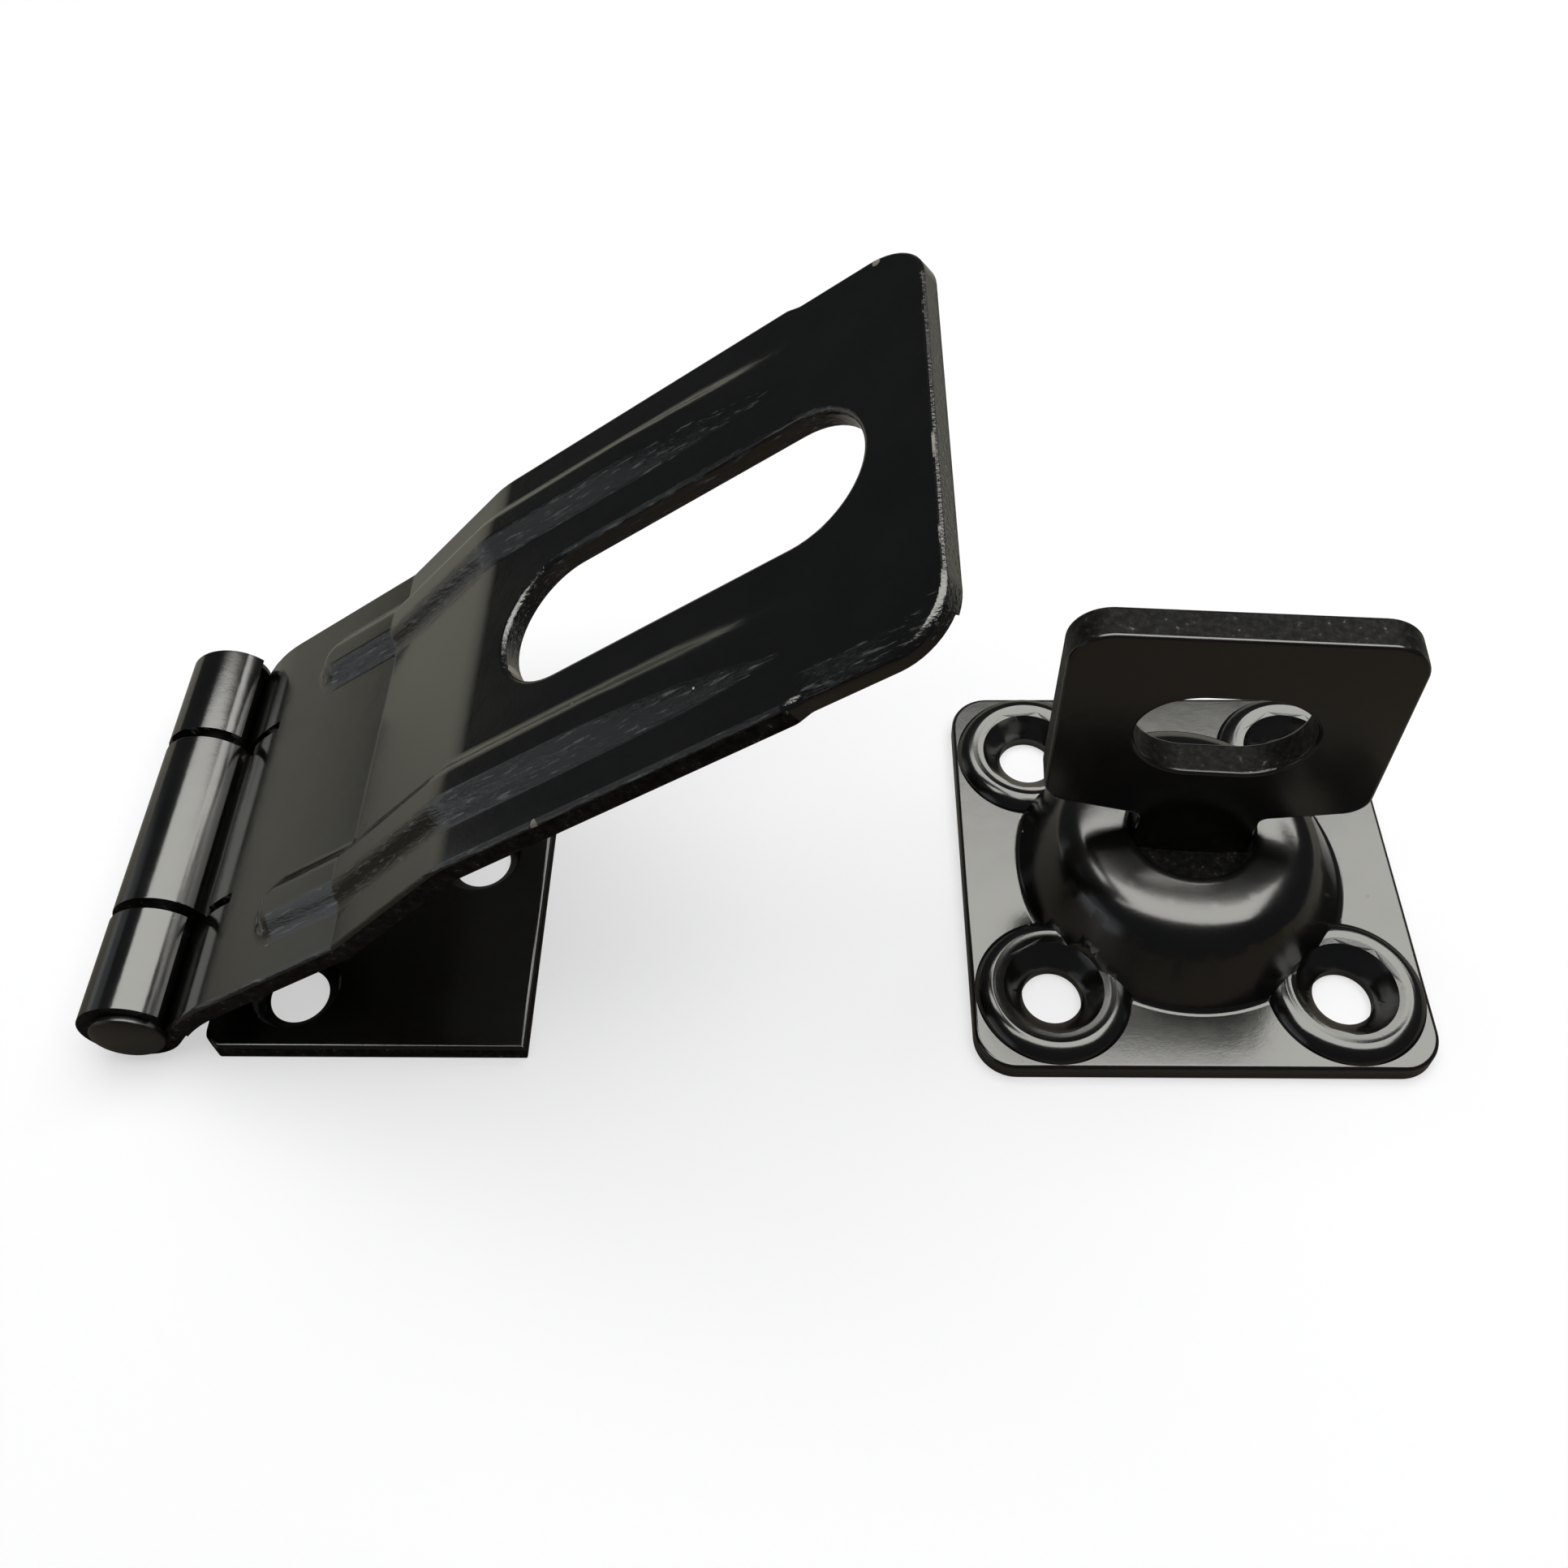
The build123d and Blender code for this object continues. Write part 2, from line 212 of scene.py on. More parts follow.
def stoved_paint(name, offset, roughness=0.16, peel=0.07, wear=0.60, chips=(), rise=0.0):
    """Gloss black stoving paint: fine orange peel, dust specks, drawing marks where the sheet was
    stretched with light grey glints painted along them, and steel showing at chips and on worn
    edges."""
    material, shader, join = new_finish(name)
    shader.inputs["IOR"].default_value = PAINT_IOR
    where = node_in(material, "ShaderNodeTexCoord").outputs["Object"]
    spot = moved(material, where, Location=offset)

    cloud = grain(material, spot, scale=160.0, detail=4.0, roughness=0.6)
    black = toned(material, cloud, (0.35, PAINT_DARK), (0.70, PAINT_LIGHT))

    cells = node_in(material, "ShaderNodeTexVoronoi", Vector=spot, Scale=210.0)
    lots = node_in(material, "ShaderNodeSeparateColor", Color=cells.outputs["Color"])
    small = reckoned(material, "LESS_THAN", cells.outputs["Distance"], DUST_SIZE)
    rare = reckoned(material, "GREATER_THAN", lots.outputs["Red"], DUST_RARE)
    specks = reckoned(material, "MULTIPLY", small, rare)

    edge = node_in(material, "ShaderNodeAttribute", attribute_name="eased_edge").outputs["Fac"]
    rubs = grain(material, spot, scale=420.0, detail=6.0, roughness=0.65)
    rubbed = between(material, rubs, start=wear, end=wear + WEAR_FADE)
    worn = reckoned(material, "MULTIPLY", edge, rubbed)
    for place, size in chips:
        away = node_in(material, "ShaderNodeVectorMath", operation="DISTANCE")
        away.inputs[1].default_value = place
        join(where, away.inputs[0])
        ragged = reckoned(material, "MULTIPLY_ADD", rubs, size, away.outputs["Value"])
        chip = reckoned(material, "LESS_THAN", ragged, size)
        worn = reckoned(material, "MAXIMUM", worn, chip)

    drawn = node_in(material, "ShaderNodeAttribute", attribute_name="drawn").outputs["Fac"]
    level = moved(material, spot, Rotation=(0, rise, 0))
    lengthways = moved(material, level, Scale=STREAK_STRETCH)
    streaks = grain(material, lengthways, scale=3600.0, detail=3.0, roughness=0.6)
    # The light grey streaks laid along the drawn faces are painted glints.
    glint_share = between(material, streaks, start=0.57, end=0.70)
    marks = reckoned(material, "MULTIPLY", drawn, glint_share)

    glinted = colour_over(material, black, PAINTED_GLINT_GREY, marks)
    dusted = colour_over(material, glinted, DUST, specks)
    bared = colour_over(material, dusted, BARE_STEEL, worn)
    join(bared, shader.inputs["Base Color"])

    haze = grain(material, spot, scale=75.0, detail=5.0, roughness=0.7)
    sheen = between(material, haze, start=0.3, end=0.7,
                    low=roughness - SHEEN_BELOW, high=roughness + SHEEN_ABOVE)
    dulled = reckoned(material, "MULTIPLY_ADD", worn, WORN_DULLER, sheen)
    join(dulled, shader.inputs["Roughness"])

    orange = grain(material, spot, scale=620.0, detail=2.0, roughness=0.5)
    grit = grain(material, spot, scale=5200.0, detail=2.0, roughness=0.6)
    orange_bump = node_in(material, "ShaderNodeBump", Strength=peel, Distance=PEEL_DEPTH,
                          Height=orange)
    grit_bump = node_in(material, "ShaderNodeBump", Strength=GRIT_STRENGTH, Distance=GRIT_DEPTH,
                        Height=grit, Normal=orange_bump.outputs["Normal"])
    streak_bump = node_in(material, "ShaderNodeBump", Strength=drawn, Distance=STREAK_DEPTH,
                          Height=streaks, Normal=grit_bump.outputs["Normal"])
    join(streak_bump.outputs["Normal"], shader.inputs["Normal"])
    return material


def sheared_paint(name, offset):
    """Thin dull paint over a sheared face, where the torn grain of the steel shows through; its
    lightest specks, in steel colour, are also painted glints.
    """
    material, shader, join = new_finish(name)
    shader.inputs["IOR"].default_value = SHEAR_IOR
    where = node_in(material, "ShaderNodeTexCoord").outputs["Object"]
    spot = moved(material, where, Location=offset)
    torn = grain(material, spot, scale=1700.0, detail=5.0, roughness=0.7)
    # The brightest specks stand for bare steel and also for painted glints on the torn face.
    tone = toned(material, torn, (0.42, SHEAR_DARK), (0.63, SHEAR_LIGHT), (0.73, BARE_STEEL))
    join(tone, shader.inputs["Base Color"])
    dull = between(material, torn, low=0.62, high=0.34)
    join(dull, shader.inputs["Roughness"])
    tear = node_in(material, "ShaderNodeBump", Strength=TEAR_STRENGTH, Distance=TEAR_DEPTH,
                   Height=torn)
    join(tear.outputs["Normal"], shader.inputs["Normal"])
    return material


hinge_leaf = pressed_copy("hinge_leaf", "screw_leaf", LEAF_EDGE)
dress(hinge_leaf, stoved_paint("leaf_paint", LEAF_PATTERN),
      sheared_paint("leaf_shear", LEAF_PATTERN))
for face in hinge_leaf.data.polygons:
    cut_end = face.normal.x > CUT_SQUARE and face.center.z < SHEET
    if cut_end or abs(face.normal.y) > CUT_SQUARE:
        face.material_index = 1
even_shading(hinge_leaf)
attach(hinge_leaf, "base")

# Hinge pin: a steel rivet put through the three knuckles and headed over at both ends, then
# painted with the rest. Only its two low crowned heads show.
PIN_EDGE = 0.00008
PIN_PATTERN = (0.013, 0.021, 0.0)

hinge_pin = pressed_copy("hinge_pin", "riveted_pin", PIN_EDGE)
dress(hinge_pin, stoved_paint("pin_paint", PIN_PATTERN, roughness=0.30, peel=0.14))
even_shading(hinge_pin)
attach(hinge_pin, "base")

# Hasp strap: the long swinging half, pressed from the same sheet with two ribs, a ramp and a slot
# that drops over the eye, and rolled round the pin as the two outer knuckles. Gloss black paint
# lies over the bare steel, duller on the sheared edges.
STRAP_EDGE = 0.00012
STRAP_PATTERN = (0.037, 0.011, 0.005)
STRAP_RISE = math.radians(36.8)
PIN_CENTRE = Vector((-0.0127, 0, 0.0044))
# The flat top near the tip: its height over the pin, where it starts and how true its faces are.
TIP_TOP = 0.0026
TIP_FLAT_FROM = 0.044
TIP_FLAT_WITHIN = 0.0001
TIP_FLAT_FACING = 0.95
# The fine crease at the foot of the ramp, and the top faces that it crosses.
CREASE = 0.02631
CREASE_HALF = 0.00022
CREASE_DEPTH = 0.00005
CREASE_FACES = (0.010, 0.042)
CREASE_FACING = 0.9
CREASE_FLOOR = -0.0008
# The two ribs: how far out they lie, where they fade into the flat, and the cuts for that.
RIB_INNER = 0.0095
RIB_OUTER = 0.0172
RIB_FACES_FROM = 0.045
RIB_FADE_FROM = 0.0540
RIB_FADE_TO = 0.0772
RIB_SKIN = 0.0003
RIB_CUTS = (0.054, 0.057, 0.060, 0.063, 0.066, 0.069, 0.071, 0.0734)
# The narrower tab at the tip, whose near side and corner roll down, and the cuts for that.
TAB_FROM = 0.0738
TAB_END = 0.0863
TAB_HALF = 0.0197
TAB_CORNER = 0.0048
TAB_ROLL = 0.0026
TAB_ROLL_START = 0.0015
TAB_DROOP = 0.0006
TAB_SKIN = 0.0007
TAB_SPARE = 0.0003
TAB_INSETS = (0.0005, 0.0010, 0.0015, 0.0020, 0.0026, 0.0034, 0.0042)
TAB_CUTS = (0.0738, 0.0746, 0.0754, 0.0770, 0.0786, 0.0802,
            0.0815, 0.0823, 0.0831, 0.0839, 0.0847, 0.0855)
# The slot's wall and the ribs' slopes, which the press left marks on and where glints are painted
# along them, and the worn rim of the end.
SLOT_FROM = 0.04
SLOPE_FROM = 0.012
SLOPE_LEAST = 0.10
SLOPE_MOST = 0.85
DEEP_DRAWN_AND_GLINT = 0.7
FAINT_DRAWN_AND_GLINT = 0.2
RIM_REACH = 0.0006
RIM_SLOPE = (0.25, 0.60)
# Each chip in the paint: its middle and its size.
TIP_CHIP = ((0.0516, 0.0190, 0.0557), 0.0009)
SLOT_CHIP = ((0.0231, -0.0031, 0.0334), 0.0012)
FLANGE_CHIP = ((0.0274, -0.0198, 0.0372), 0.0008)

strap_along = Vector((math.cos(STRAP_RISE), 0, math.sin(STRAP_RISE)))
strap_above = Vector((-math.sin(STRAP_RISE), 0, math.cos(STRAP_RISE)))


def on_strap(point):
    """How far a point lies along the strap, across it and above it, from the hinge pin."""
    place = point - PIN_CENTRE
    return place.dot(strap_along), place.y, place.dot(strap_above)


def along_strap(reaches):
    """The points on the strap's middle line at those distances from the hinge pin."""
    return [PIN_CENTRE + strap_along * reach for reach in reaches]


def pick_faces(piece, wanted):
    """Selects the wanted faces of a piece and no others, and leaves it open for editing."""
    only(piece)
    bpy.context.tool_settings.mesh_select_mode = (False, False, True)
    bpy.ops.object.mode_set(mode="EDIT")
    bpy.ops.mesh.select_all(action="DESELECT")
    bpy.ops.object.mode_set(mode="OBJECT")
    for face in piece.data.polygons:
        face.select = wanted(face)
    bpy.ops.object.mode_set(mode="EDIT")


def split_faces(piece, wanted, normal, places):
    """Cuts the wanted faces along a row of planes, so that they can be dressed to shape."""
    for place in places:
        pick_faces(piece, wanted)
        bpy.ops.mesh.bisect(plane_co=place, plane_no=normal)
        bpy.ops.object.mode_set(mode="OBJECT")


def on_rib(face):
    """Tells whether a face belongs to the outer stretch of a rib or to the hollow under it."""
    along, across, above = on_strap(face.center)
    return along > RIB_FACES_FROM and RIB_INNER < abs(across) < RIB_OUTER


def on_crease(face):
    """Tells whether a top face lies between the ribs where the ramp starts."""
    along, across, above = on_strap(face.center)
    return (CREASE_FACES[0] < along < CREASE_FACES[1] and abs(across) < RIB_INNER
            and face.normal.dot(strap_above) > CREASE_FACING)


def on_flat(face):
    """Tells whether a face is part of the flat top between the ramp and the tip."""
    along, across, above = on_strap(face.center)
    return (along > TIP_FLAT_FROM and abs(above - TIP_TOP) < TIP_FLAT_WITHIN
            and face.normal.dot(strap_above) > TIP_FLAT_FACING)


def on_tab_side(face):
    """Tells whether a flat top face lies along the near side of the tab at the tip."""
    return on_flat(face) and face.center.y < TAB_CORNER - TAB_HALF - TAB_SPARE


hasp_strap = pressed_copy("hasp_strap", "swinging_strap", STRAP_EDGE)
split_faces(hasp_strap, on_rib, strap_along, along_strap(RIB_CUTS))
split_faces(hasp_strap, on_flat, Vector((0, 1, 0)),
            [Vector((0, inset - TAB_HALF, 0)) for inset in TAB_INSETS])
split_faces(hasp_strap, on_tab_side, strap_along, along_strap(TAB_CUTS))
split_faces(hasp_strap, on_crease, strap_along,
            along_strap((CREASE - CREASE_HALF, CREASE, CREASE + CREASE_HALF)))
for corner in hasp_strap.data.vertices:
    along, across, above = on_strap(corner.co)
    side = abs(across)
    if abs(along - CREASE) < CREASE_HALF and side < RIB_INNER and above > CREASE_FLOOR:
        corner.co -= strap_above * CREASE_DEPTH * (1 - abs(along - CREASE) / CREASE_HALF)
    if along > RIB_FADE_FROM and RIB_INNER < side < RIB_OUTER:
        fade = min((along - RIB_FADE_FROM) / (RIB_FADE_TO - RIB_FADE_FROM), 1.0)
        base = TIP_TOP if above > TIP_TOP - RIB_SKIN else TIP_TOP - SHEET
        corner.co -= strap_above * max(above - base, 0.0) * fade * fade * (3 - 2 * fade)
    if along > TAB_FROM and across < 0 and above > TIP_TOP - TAB_SKIN:
        beyond = along - TAB_END + TAB_CORNER
        outside = side - TAB_HALF + TAB_CORNER
        if beyond > 0 and outside > 0:
            inside = TAB_CORNER - math.hypot(beyond, outside)
            share = 1 - (math.atan2(beyond, outside) / math.radians(90)) ** 2
        else:
            inside = TAB_HALF - side
            share = min((along - TAB_FROM) / TAB_ROLL_START, 1.0)
        if inside < TAB_ROLL:
            corner.co -= strap_above * TAB_DROOP * share * (1 - max(inside, 0.0) / TAB_ROLL) ** 2
# The drawn faces carry the press marks' bump and the painted glints.
drawn = hasp_strap.data.attributes.new("drawn", "FLOAT", "FACE")
eased = hasp_strap.data.attributes["eased_edge"]
for face in hasp_strap.data.polygons:
    along, across, above = on_strap(face.center)
    steep = abs(face.normal.dot(strap_above)) < SLOPE_MOST
    slot_wall = steep and abs(across) < RIB_INNER and along > SLOT_FROM
    sloping = along > SLOPE_FROM and SLOPE_LEAST < abs(face.normal.y) < SLOPE_MOST
    if slot_wall or (sloping and face.normal.y < 0):
        drawn.data[face.index].value = DEEP_DRAWN_AND_GLINT
    elif sloping:
        drawn.data[face.index].value = FAINT_DRAWN_AND_GLINT
    if along > TAB_END - RIM_REACH and RIM_SLOPE[0] < face.normal.dot(strap_along) < RIM_SLOPE[1]:
        eased.data[face.index].value = 1.0
dress(hasp_strap,
      stoved_paint("strap_paint", STRAP_PATTERN, roughness=0.13, wear=0.55,
                   chips=(TIP_CHIP, SLOT_CHIP, FLANGE_CHIP), rise=STRAP_RISE),
      sheared_paint("strap_shear", STRAP_PATTERN))
for face in hasp_strap.data.polygons:
    along, across, above = on_strap(face.center)
    if along < TAB_FROM and abs(across) > RIB_OUTER and abs(face.normal.y) > CUT_SQUARE:
        face.material_index = 1
even_shading(hasp_strap)
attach(hasp_strap, "strap")

# Staple plate: a square of sheet pressed up into a dome, with a raised ring round each of its
# four screw holes, painted gloss black. It is screwed to the post, and the eye turns in its dome.
PLATE_EDGE = 0.00012
PLATE_PATTERN = (0.081, 0.027, 0.009)
STAPLE_X = 0.0805
STAPLE_Y = -0.0013
# A screw ring: its place, foot, crest and flank, its rounded lip, and the countersunk hole in it.
RING_OFFSET = 0.0128
RING_FOOT = 0.0069
RING_CREST = 0.0053
RING_HEIGHT = 0.0012
RING_RUN = 1.5
RING_FACING = (0.80, 0.86)
RING_ROUNDING = 0.75
RING_LIP = 0.0004
SINK_RIM = 0.0044
HOLE_RIM = 0.00265
# The dome as it is drawn, and how its crown falls away from the hole once it is dressed.
DOME_HOLE = 0.00584
DOME_TOP = 0.0094
DOME_TOP_FACING = 0.999
DOME_FLAT = 0.00863
DOME_ROUND = 0.0036
DOME_FLANK = 0.01182
DOME_FLANK_TOP = 0.00746
DOME_FLANK_FALL = 1.9
DOME_DRESSED = 0.0126
CROWN_FALL = 0.1
CROWN_STEEPENING = 1.8
CROWN_POWER = 4.43
# How near a corner lies to the drawn surface that it belongs to.
SPARE = 0.0001
SINK_WITHIN = 0.0002
CROWN_WITHIN = 0.00016
RING_WITHIN = 0.00008
FOOT_WITHIN = 0.00002
# Each flaw in the paint: its middle and its size.
RING_BLISTER = ((0.0980, -0.0142, 0.0030), 0.0005)
PLATE_SCUFF = ((0.0975, -0.0044, 0.0018), 0.0005)


def from_ring(point):
    """How far a point lies from the nearest screw hole's middle, seen from above."""
    return math.hypot(abs(point.x - STAPLE_X) - RING_OFFSET, abs(point.y - STAPLE_Y) - RING_OFFSET)


def from_dome(point):
    """How far a point lies from the dome's middle, seen from above."""
    return math.hypot(point.x - STAPLE_X, point.y - STAPLE_Y)


def on_crown_or_ring(face):
    """Tells whether a face is on the dome's level top or on the outer flank of a screw ring."""
    crown = face.normal.z > DOME_TOP_FACING and face.center.z > DOME_TOP - SPARE
    flank = (RING_FACING[0] < face.normal.z < RING_FACING[1]
             and SHEET < face.center.z < SHEET + RING_HEIGHT)
    return crown or (flank and from_ring(face.center) < RING_FOOT)


def crown_heights(reach):
    """The dome's height there as it is drawn, and how far it is dressed down from that, because
    the real crown falls away from its hole."""
    width = DOME_DRESSED - DOME_HOLE
    part = (reach - DOME_HOLE) / width
    steeper = CROWN_STEEPENING * max(part, 0.0) ** CROWN_POWER / CROWN_POWER
    dressed = DOME_TOP - width * (CROWN_FALL * part + steeper)
    if reach < DOME_FLAT:
        pressed = DOME_TOP
    elif reach < DOME_FLANK:
        pressed = DOME_TOP - DOME_ROUND + math.sqrt(DOME_ROUND ** 2 - (reach - DOME_FLAT) ** 2)
    else:
        pressed = DOME_FLANK_TOP - DOME_FLANK_FALL * (reach - DOME_FLANK)
    return pressed, max(pressed - dressed, 0.0)


staple_plate = pressed_copy("staple_plate", "domed_plate", PLATE_EDGE)
pick_faces(staple_plate, on_crown_or_ring)
bpy.ops.mesh.quads_convert_to_tris()
bpy.ops.mesh.subdivide(number_cuts=3)
bpy.ops.object.mode_set(mode="OBJECT")
for corner in staple_plate.data.vertices:
    reach = from_ring(corner.co)
    height = corner.co.z - SHEET
    below_crest = height < RING_HEIGHT + SPARE
    near_crest = below_crest and height > RING_HEIGHT - SINK_WITHIN
    if RING_CREST < reach < RING_FOOT and below_crest and height > -FOOT_WITHIN:
        out = (reach - RING_CREST) / (RING_FOOT - RING_CREST)
        pressed = min((RING_FOOT - reach) / RING_RUN, RING_HEIGHT)
        if abs(height - pressed) < RING_WITHIN:
            corner.co.z = SHEET + RING_HEIGHT * (1 - out * out) ** RING_ROUNDING
    elif SINK_RIM - SPARE < reach <= RING_CREST and near_crest:
        corner.co.z -= RING_LIP * ((RING_CREST - reach) / (RING_CREST - SINK_RIM)) ** 2
    elif HOLE_RIM < reach < SINK_RIM and abs(height - RING_HEIGHT + SINK_RIM - reach) < SINK_WITHIN:
        corner.co.z -= RING_LIP * (reach - HOLE_RIM) / (SINK_RIM - HOLE_RIM)
    reach = from_dome(corner.co)
    if DOME_HOLE - SPARE < reach < DOME_DRESSED:
        pressed, drop = crown_heights(reach)
        if abs(corner.co.z - pressed) < CROWN_WITHIN:
            corner.co.z -= drop
dress(staple_plate, stoved_paint("plate_paint", PLATE_PATTERN, chips=(RING_BLISTER, PLATE_SCUFF)))
even_shading(staple_plate)
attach(staple_plate, "base")

# Swivel eye: a flat blanked from thicker plate, with a slot for the padlock's shackle and a neck
# that passes down through the dome, where its tang is riveted over a washer. Its faces are painted
# gloss black, and its sheared rim and slot stay rough under the paint.
EYE_EDGE = 0.00010
EYE_PATTERN = (0.061, 0.043, 0.013)
EYE_TURN = math.radians(-3.5)
EYE_SLOT_MIDDLE = 0.0245
EYE_SLOT_TOP = 0.0298
EYE_SLOT_END = 0.0074
EYE_SLOT_SPARE = 0.001
EYE_SLOT_SAG = 0.00060
EYE_RIM_FACING = 0.12

swivel_eye = pressed_copy("swivel_eye", "turning_eye", EYE_EDGE)
for corner in swivel_eye.data.vertices:
    height = corner.co.z - EYE_SLOT_MIDDLE
    slot_rise = EYE_SLOT_TOP - EYE_SLOT_MIDDLE
    in_slot = from_dome(corner.co) < EYE_SLOT_END + EYE_SLOT_SPARE
    if in_slot and 0 < height < slot_rise + EYE_SLOT_SPARE:
        corner.co.z -= EYE_SLOT_SAG * height / slot_rise
dress(swivel_eye, stoved_paint("eye_paint", EYE_PATTERN, roughness=0.20),
      sheared_paint("eye_shear", EYE_PATTERN))
eye_facing = Vector((math.sin(EYE_TURN), -math.cos(EYE_TURN), 0))
for face in swivel_eye.data.polygons:
    if abs(face.normal.dot(eye_facing)) < EYE_RIM_FACING:
        face.material_index = 1
even_shading(swivel_eye)
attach(swivel_eye, "eye")

# Retaining washer: a plain turned steel ring under the dome, which the eye's tang is riveted over
# so that the eye stays in and still turns. Its top, which shows through the dome's hole, takes the
# dark dull finish of the sheared faces.
WASHER_EDGE = 0.00010
WASHER_PATTERN = (0.023, 0.051, 0.0)
WASHER_TOP_FACING = 0.5
STEEL_DARK = (0.30, 0.30, 0.29, 1)
STEEL_LIGHT = (0.52, 0.51, 0.49, 1)
GROOVE_DEPTH = 0.00002
GROOVE_STRENGTH = 0.25


def turned_steel(name):
    """Plain steel with fine turning rings and a few dull stains."""
    material, shader, join = new_finish(name)
    shader.inputs["Metallic"].default_value = 1.0
    where = node_in(material, "ShaderNodeTexCoord").outputs["Object"]
    centred = moved(material, where, Location=(-STAPLE_X, -STAPLE_Y, 0.0))
    rings = node_in(material, "ShaderNodeTexWave", wave_type="RINGS", rings_direction="Z",
                    Vector=centred, Scale=900.0, Distortion=1.5, Detail=3.0)
    stains = grain(material, where, scale=300.0, detail=5.0, roughness=0.6)
    tone = toned(material, stains, (0.3, STEEL_DARK), (0.7, STEEL_LIGHT))
    join(tone, shader.inputs["Base Color"])
    dull = between(material, stains, low=0.32, high=0.50)
    join(dull, shader.inputs["Roughness"])
    groove = node_in(material, "ShaderNodeBump", Strength=GROOVE_STRENGTH, Distance=GROOVE_DEPTH,
                     Height=rings.outputs["Fac"])
    join(groove.outputs["Normal"], shader.inputs["Normal"])
    return material


retaining_washer = pressed_copy("retaining_washer", "tang_washer", WASHER_EDGE)
dress(retaining_washer, turned_steel("washer_steel"),
      sheared_paint("washer_dark_top", WASHER_PATTERN))
for face in retaining_washer.data.polygons:
    if face.normal.z > WASHER_TOP_FACING:
        face.material_index = 1
even_shading(retaining_washer)
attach(retaining_washer, "eye")

# Table and backdrop: a wide sheet of white card that both halves lie on, and a ring of white paper
# far behind it that reflections don't show. The card takes the lamp's light and the object's
# shadow, and a glow of its own keeps that shadow pale and the card white out to the paper.
TABLE_SIZE = 6.0
TABLE_DROP = 0.0001
CARD = (0.42, 0.42, 0.45, 1)
CARD_GLOW = 0.55
CARD_NEAR = 0.30
CARD_FAR = 1.20
MATT = 0.9
WHITE = (1, 1, 1, 1)
BLACK = (0, 0, 0, 1)
PAPER_REACH = 2.9
PAPER_HEIGHT = 4.0
PAPER_SIDES = 96

bpy.ops.object.select_all(action="DESELECT")
bpy.ops.mesh.primitive_plane_add(size=TABLE_SIZE, location=(0, 0, -TABLE_DROP))
table = bpy.context.object
table.name = "white_card_table"
card, card_shader, join = new_finish("white_card")
card_shader.inputs["Roughness"].default_value = MATT
card_shader.inputs["Specular IOR Level"].default_value = 0.0
card_shader.inputs["Base Color"].default_value = CARD
card_shader.inputs["Emission Color"].default_value = WHITE
path = node_in(card, "ShaderNodeLightPath")
seen = reckoned(card, "MAXIMUM", path.outputs["Is Camera Ray"], path.outputs["Is Glossy Ray"])
seen_through = reckoned(card, "MAXIMUM", seen, path.outputs["Is Transmission Ray"])
away = node_in(card, "ShaderNodeVectorMath", operation="LENGTH")
join(node_in(card, "ShaderNodeTexCoord").outputs["Object"], away.inputs[0])
level = between(card, away.outputs["Value"], start=CARD_NEAR, end=CARD_FAR,
                low=CARD_GLOW, high=1.0)
join(reckoned(card, "MULTIPLY", seen_through, level), card_shader.inputs["Emission Strength"])
table.data.materials.append(card)

bpy.ops.object.select_all(action="DESELECT")
bpy.ops.mesh.primitive_cylinder_add(vertices=PAPER_SIDES, radius=PAPER_REACH, depth=PAPER_HEIGHT,
                                    end_fill_type="NOTHING",
                                    location=(0, 0, PAPER_HEIGHT / 2 - TABLE_DROP))
backdrop = bpy.context.object
backdrop.name = "white_paper_backdrop"
backdrop.visible_diffuse = False
backdrop.visible_glossy = False
backdrop.visible_shadow = False
paper, paper_shader = new_finish("white_paper")[:2]
paper_shader.inputs["Base Color"].default_value = BLACK
paper_shader.inputs["Specular IOR Level"].default_value = 0.0
paper_shader.inputs["Emission Color"].default_value = WHITE
paper_shader.inputs["Emission Strength"].default_value = 1.0
backdrop.data.materials.append(paper)

# Studio light: one wide softbox overhead, a small one at the right behind it, a tall weak card and
# a brighter low strip at the left, and a dim room. A dark cloth over the table is seen by
# reflections alone, a painted dark reflection, so that the gloss paint mirrors it in place of the
# white card; it is darker in front and lighter behind, painted shade and light in those
# reflections.
SOFTBOX_MIDDLE = (0.095, 0.125, 0.60)
SOFTBOX_SIZE = (0.81, 0.65)
SOFTBOX_POWER = 5.7
LAMP_WHITE = (1.0, 0.995, 0.93)
SIDE_CARD_MIDDLE = (-0.60, -0.15, 0.17)
SIDE_CARD_SIZE = (1.00, 0.34)
SIDE_CARD_POWER = 0.18
LOW_CARD_MIDDLE = (-0.59, -0.20, 0.055)
LOW_CARD_SIZE = (1.00, 0.11)
LOW_CARD_POWER = 0.08
SIDE_BLUE = (0.93, 0.97, 1.0)
SIDE_TURN = (math.radians(90), 0, math.radians(-90))
BACK_CARD_MIDDLE = (0.62, 0.55, 0.60)
BACK_CARD_SIZE = (0.45, 0.20)
BACK_CARD_POWER = 0.96
CLOTH_SIZE = 5.80
CLOTH_DROP = 0.00005
# The cloth's painted shade in front and painted light behind, as the reflections see them.
CLOTH_SHADED_FRONT = (0.10, 0.085, 0.07, 1)
CLOTH_LIT_BACK = (0.34, 0.335, 0.30, 1)
CLOTH_FRONT_END = -0.03
CLOTH_BACK_START = 0.05
ROOM = (0.045, 0.047, 0.05, 1)


def soft_lamp(name, middle, size, power, turn=(0, 0, 0), colour=LAMP_WHITE):
    """Hangs a flat rectangular lamp that faces straight down, or the way it is turned."""
    bpy.ops.object.select_all(action="DESELECT")
    bpy.ops.object.light_add(type="AREA", location=middle, rotation=turn)
    lamp = bpy.context.object
    lamp.name = name
    lamp.data.shape = "RECTANGLE"
    lamp.data.size = size[0]
    lamp.data.size_y = size[1]
    lamp.data.energy = power
    lamp.data.color = colour


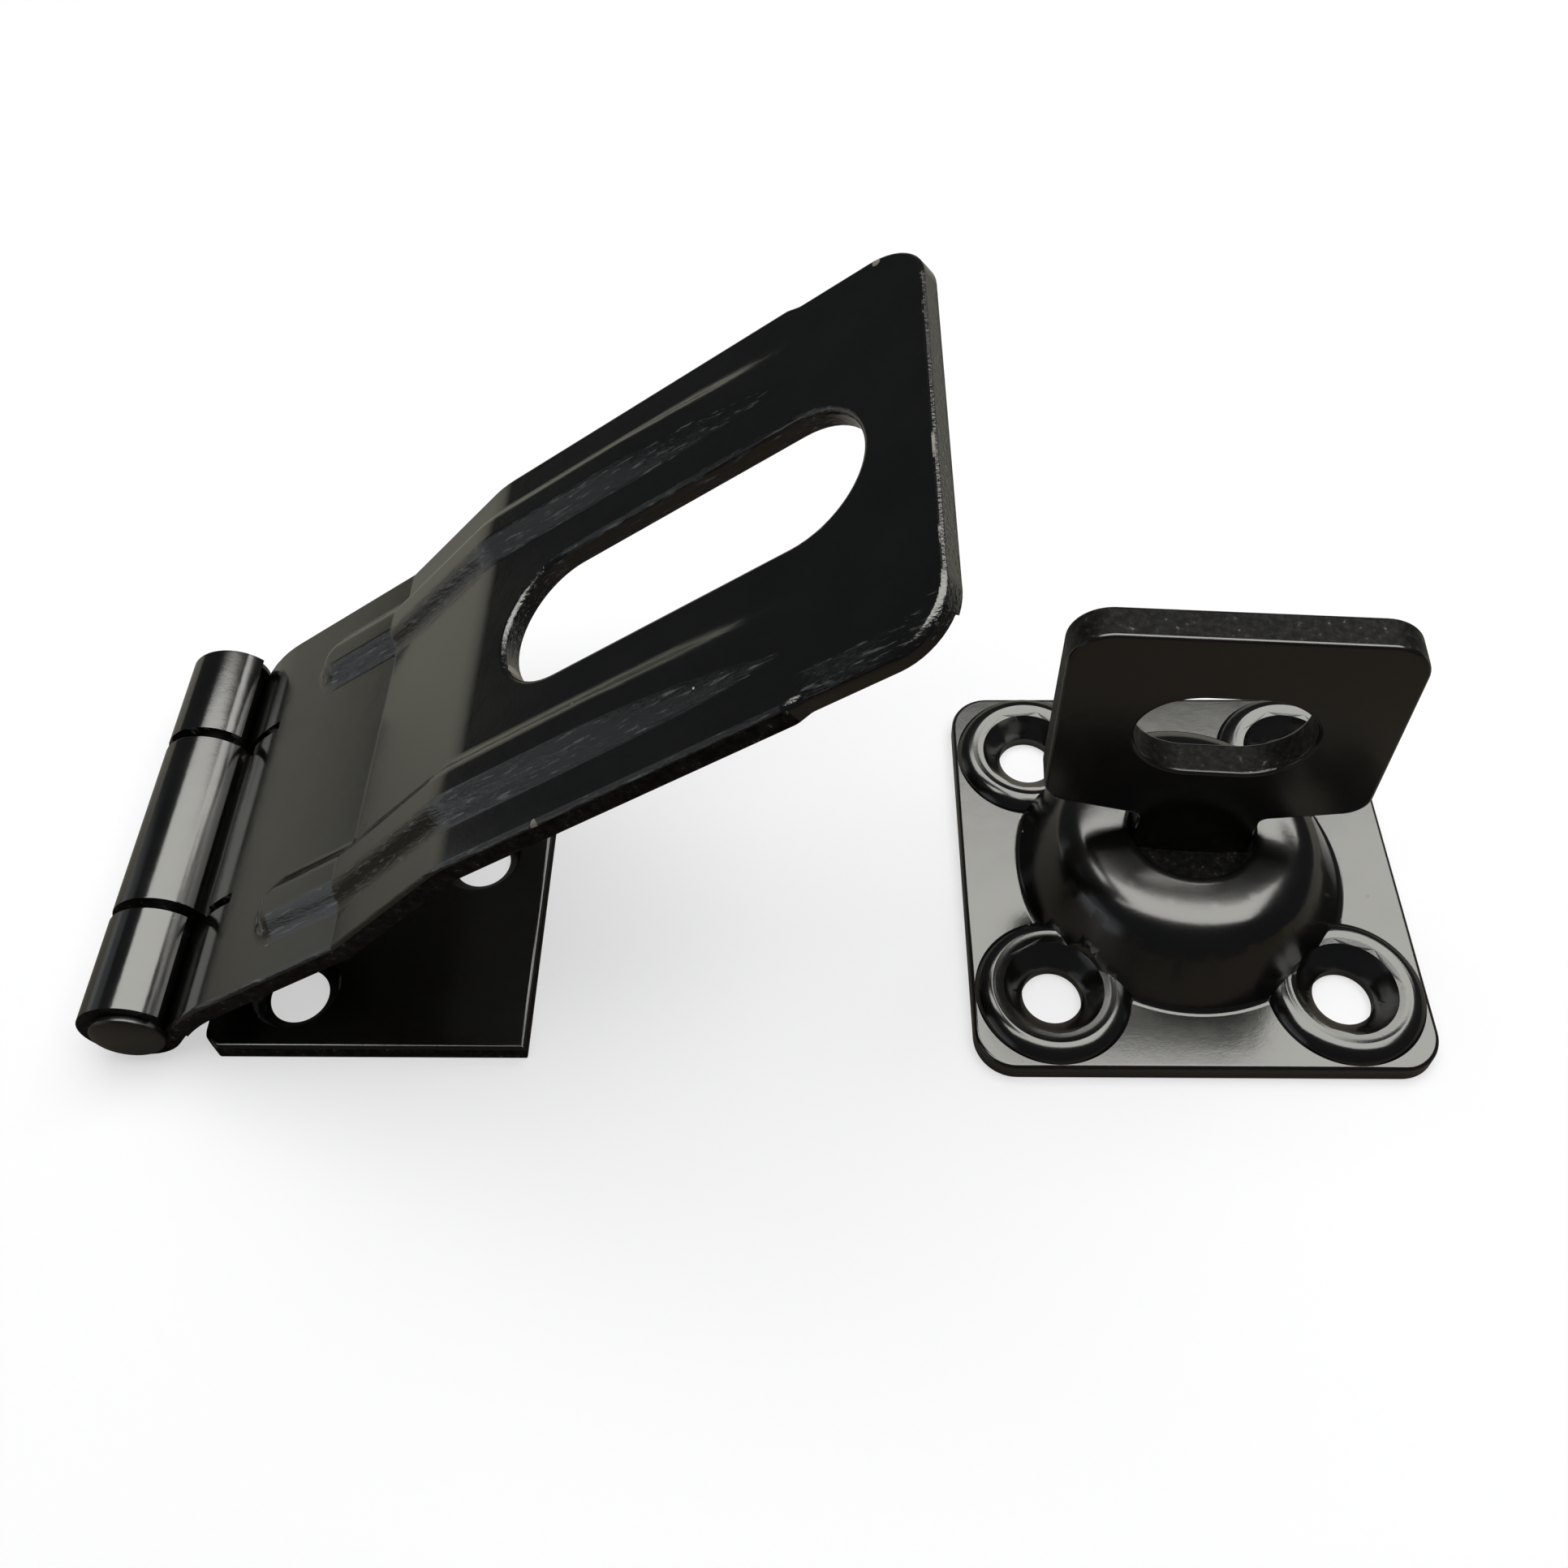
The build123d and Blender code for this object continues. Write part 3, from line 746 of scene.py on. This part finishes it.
soft_lamp("overhead_softbox", SOFTBOX_MIDDLE, SOFTBOX_SIZE, SOFTBOX_POWER)
soft_lamp("side_card", SIDE_CARD_MIDDLE, SIDE_CARD_SIZE, SIDE_CARD_POWER, SIDE_TURN, SIDE_BLUE)
soft_lamp("low_side_card", LOW_CARD_MIDDLE, LOW_CARD_SIZE, LOW_CARD_POWER, SIDE_TURN, SIDE_BLUE)
soft_lamp("back_card", BACK_CARD_MIDDLE, BACK_CARD_SIZE, BACK_CARD_POWER)

bpy.ops.object.select_all(action="DESELECT")
bpy.ops.mesh.primitive_plane_add(size=CLOTH_SIZE, location=(0, 0, -CLOTH_DROP))
cloth = bpy.context.object
cloth.name = "reflection_only_cloth"
cloth.visible_camera = False
cloth.visible_diffuse = False
cloth.visible_transmission = False
cloth.visible_shadow = False
reflection_shade, reflection_shade_shader, join = new_finish("painted_reflection_shade")
reflection_shade_shader.inputs["Roughness"].default_value = MATT
reflection_shade_shader.inputs["Specular IOR Level"].default_value = 0.0
where = node_in(reflection_shade, "ShaderNodeTexCoord").outputs["Object"]
depth = node_in(reflection_shade, "ShaderNodeSeparateXYZ", Vector=where).outputs["Y"]
# The cloth runs from dark in front to lighter behind: painted shade and light for the reflections.
back = between(reflection_shade, depth, start=CLOTH_FRONT_END, end=CLOTH_BACK_START)
tone = node_in(reflection_shade, "ShaderNodeMix", data_type="RGBA", Factor=back, A=CLOTH_SHADED_FRONT, B=CLOTH_LIT_BACK)
join(tone.outputs["Result"], reflection_shade_shader.inputs["Base Color"])
cloth.data.materials.append(reflection_shade)

room = bpy.data.worlds.new("dim_room")
room.use_nodes = True
room.node_tree.nodes["Background"].inputs["Color"].default_value = ROOM
bpy.context.scene.world = room
bpy.context.scene.view_settings.view_transform = "Standard"

# Camera: above and in front of the two halves, turned a little, with the object
# in the upper half of a square picture.
CAMERA_PLACE = (0.047178, -0.079128, 0.127709)
CAMERA_AZIMUTH = 2.585
CAMERA_ELEVATION = 49.179
CAMERA_ROLL = -2.148
CAMERA_CLIP = (0.005, 50)
SENSOR_WIDTH = 36
PICTURE_SIDE = 1932
FOCAL_PIXELS = 1908.37
PICTURE_AXIS = (954, 763)

bpy.ops.object.camera_add()
camera = bpy.context.object
camera.name = "product_camera"
camera.data.sensor_width = SENSOR_WIDTH
camera.data.lens = FOCAL_PIXELS / PICTURE_SIDE * SENSOR_WIDTH
camera.data.shift_x = (PICTURE_SIDE / 2 - PICTURE_AXIS[0]) / PICTURE_SIDE
camera.data.shift_y = (PICTURE_AXIS[1] - PICTURE_SIDE / 2) / PICTURE_SIDE
camera.data.clip_start, camera.data.clip_end = CAMERA_CLIP
camera.matrix_world = (
    Matrix.Translation(Vector(CAMERA_PLACE))
    @ Matrix.Rotation(math.radians(CAMERA_AZIMUTH), 4, "Z")
    @ Matrix.Rotation(math.radians(90 - CAMERA_ELEVATION), 4, "X")
    @ Matrix.Rotation(math.radians(CAMERA_ROLL), 4, "Z")
)
bpy.context.scene.camera = camera
